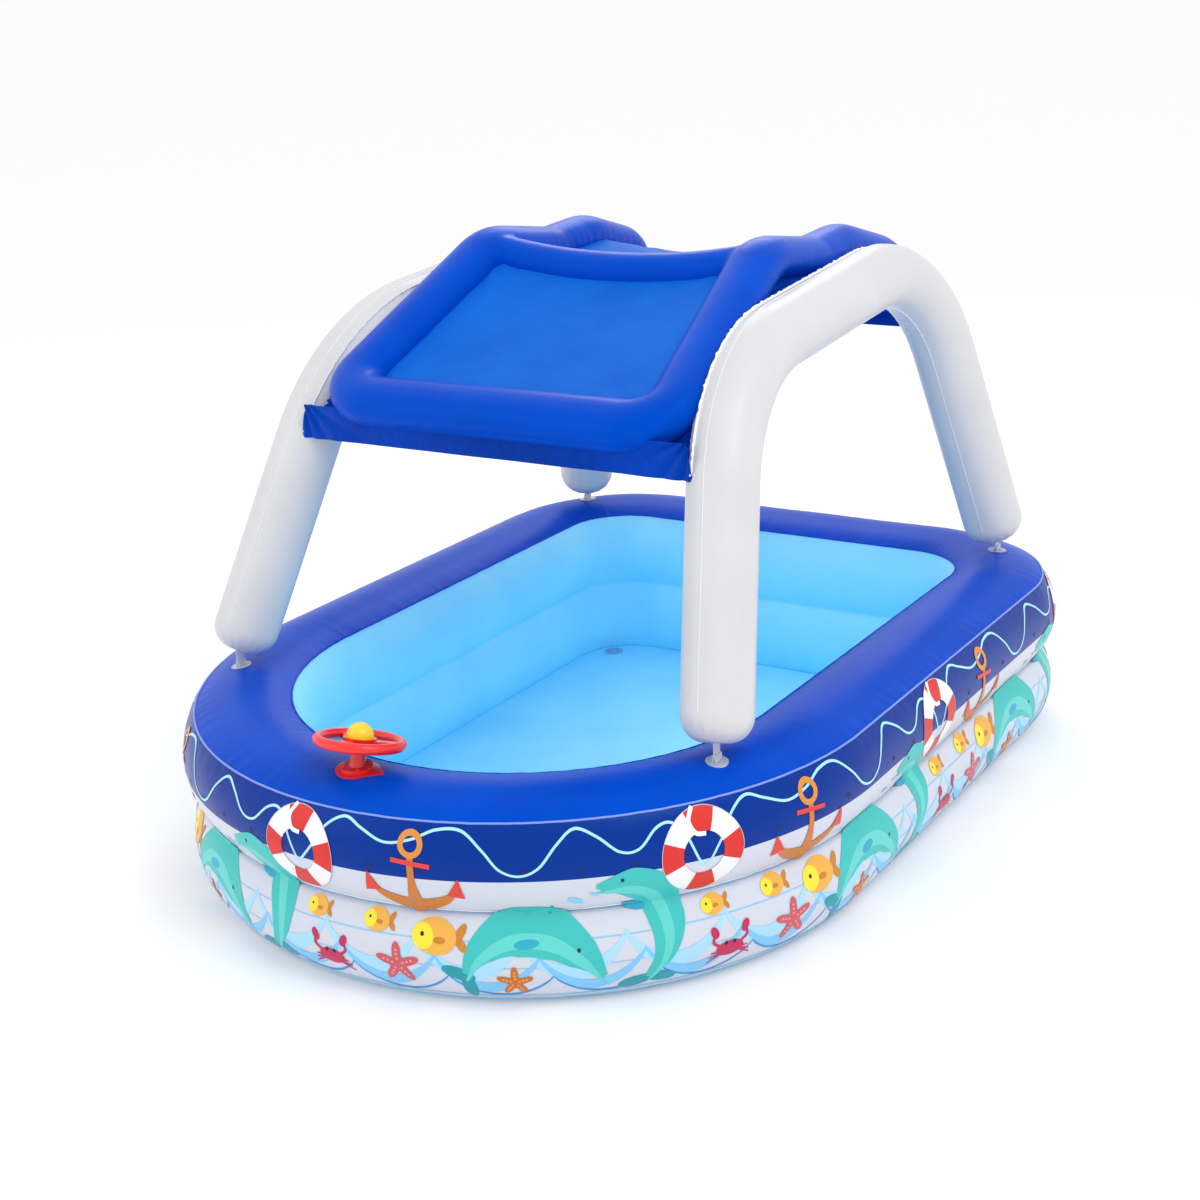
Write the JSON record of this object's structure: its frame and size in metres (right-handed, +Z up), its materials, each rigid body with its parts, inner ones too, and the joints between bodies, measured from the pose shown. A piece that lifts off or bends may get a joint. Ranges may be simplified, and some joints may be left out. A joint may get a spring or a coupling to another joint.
{
  "type": "inflatable paddling pool with sunshade",
  "caption": "Boat-shaped inflatable paddling pool with a round bow, lift-off inflatable sunshade on arches and a turning toy steering wheel.",
  "frame": {"origin": "on the ground at the middle of the pool's plan", "axes": "+Z up, +X starboard, +Y towards the square stern; the round bow with the steering wheel is at -Y"},
  "size_m": [1.55, 2.1297, 1.2703],
  "materials": {
    "pool_print_film": "printed vinyl film, satin",
    "pool_inner_film": "vinyl film, satin",
    "rim_film": "vinyl film, satin",
    "canopy_film": "vinyl film, satin",
    "canopy_panel_film": "vinyl film, matt",
    "arch_film": "vinyl film, satin",
    "clear_vinyl": "clear vinyl, glossy",
    "drain_vinyl": "moulded vinyl, glossy",
    "wheel_red": "moulded plastic, glossy",
    "wheel_web_blue": "moulded plastic, glossy",
    "horn_yellow": "moulded plastic, glossy",
    "white_abs": "moulded plastic, satin",
    "zinc_steel": "zinc plated"
  },
  "bodies": {
    "pool": {"floor_sheet": "pool_inner_film", "lower_ring_outer_wall": "pool_print_film", "lower_ring_inner_wall": "pool_inner_film", "ring_partition": "pool_inner_film", "upper_ring_outer_wall": "pool_print_film", "upper_ring_inner_wall": "pool_inner_film", "rim_top_sheet": "rim_film", "upper_ring_valve_body": "clear_vinyl", "lower_ring_valve_body": "clear_vinyl", "drain_body": "drain_vinyl", "wheel_patch": "wheel_red", "wheel_base": "wheel_red", "base_rivets": "wheel_red", "wheel_spindle": "white_abs", "retaining_washer": "zinc_steel", "retaining_screw": "zinc_steel", "starboard_bow_rim_clip": "clear_vinyl", "starboard_stern_rim_clip": "clear_vinyl", "port_bow_rim_clip": "clear_vinyl", "port_stern_rim_clip": "clear_vinyl"},
    "sunshade": {"starboard_arch_outboard_sheet": "arch_film", "starboard_arch_inboard_sheet": "arch_film", "starboard_arch_valve_body": "clear_vinyl", "starboard_side_flange": "canopy_film", "starboard_bow_leg_tongue": "clear_vinyl", "starboard_stern_leg_tongue": "clear_vinyl", "port_arch_outboard_sheet": "arch_film", "port_arch_inboard_sheet": "arch_film", "port_arch_valve_body": "clear_vinyl", "port_side_flange": "canopy_film", "port_bow_leg_tongue": "clear_vinyl", "port_stern_leg_tongue": "clear_vinyl", "canopy_top_sheet": "canopy_film", "canopy_bottom_sheet": "canopy_film", "canopy_valve_body": "clear_vinyl", "canopy_front_panel": "canopy_panel_film", "canopy_rear_panel": "canopy_panel_film", "front_valance": "canopy_film", "rear_valance": "canopy_film"},
    "wheel": {"steering_wheel": "wheel_red", "wheel_web": "wheel_web_blue", "horn_spring": "zinc_steel"},
    "horn": {"horn_button": "horn_yellow", "horn_squeaker": "white_abs"},
    "upper_ring_plug": {"upper_ring_plug": "clear_vinyl"},
    "lower_ring_plug": {"lower_ring_plug": "clear_vinyl"},
    "drain_plug": {"drain_plug": "drain_vinyl"},
    "starboard_arch_plug": {"starboard_arch_plug": "clear_vinyl"},
    "port_arch_plug": {"port_arch_plug": "clear_vinyl"},
    "canopy_plug": {"canopy_plug": "clear_vinyl"}
  },
  "joints": [
    {"name": "sunshade_lift", "type": "slide", "parent": "pool", "child": "sunshade", "axis": [0, 0, 1], "range_m": [0, 0.3]},
    {"name": "wheel_spin", "type": "hinge", "parent": "pool", "child": "wheel", "pos_m": [0, -0.925, 0.405], "axis": [0, 0.2588, 0.9659], "continuous": true},
    {"name": "horn_press", "type": "slide", "parent": "wheel", "child": "horn", "axis": [0, -0.2588, -0.9659], "range_m": [0, 0.005], "stiffness_N_per_m": 400, "springref_m": -0.003, "deforming": ["horn_spring"]},
    {"name": "upper_ring_plug_pull", "type": "slide", "parent": "pool", "child": "upper_ring_plug", "axis": [0, 0.9203, -0.3912], "range_m": [0, 0.018]},
    {"name": "lower_ring_plug_pull", "type": "slide", "parent": "pool", "child": "lower_ring_plug", "axis": [0, 0.9773, 0.2118], "range_m": [0, 0.018]},
    {"name": "drain_plug_pull", "type": "slide", "parent": "pool", "child": "drain_plug", "axis": [0, 0, 1], "range_m": [0, 0.018]},
    {"name": "starboard_arch_plug_pull", "type": "slide", "parent": "sunshade", "child": "starboard_arch_plug", "axis": [-0.9833, 0, -0.1822], "range_m": [0, 0.018]},
    {"name": "port_arch_plug_pull", "type": "slide", "parent": "sunshade", "child": "port_arch_plug", "axis": [0.9833, 0, -0.1822], "range_m": [0, 0.018]},
    {"name": "canopy_plug_pull", "type": "slide", "parent": "sunshade", "child": "canopy_plug", "axis": [0, 0, -1], "range_m": [0, 0.018]}
  ]
}
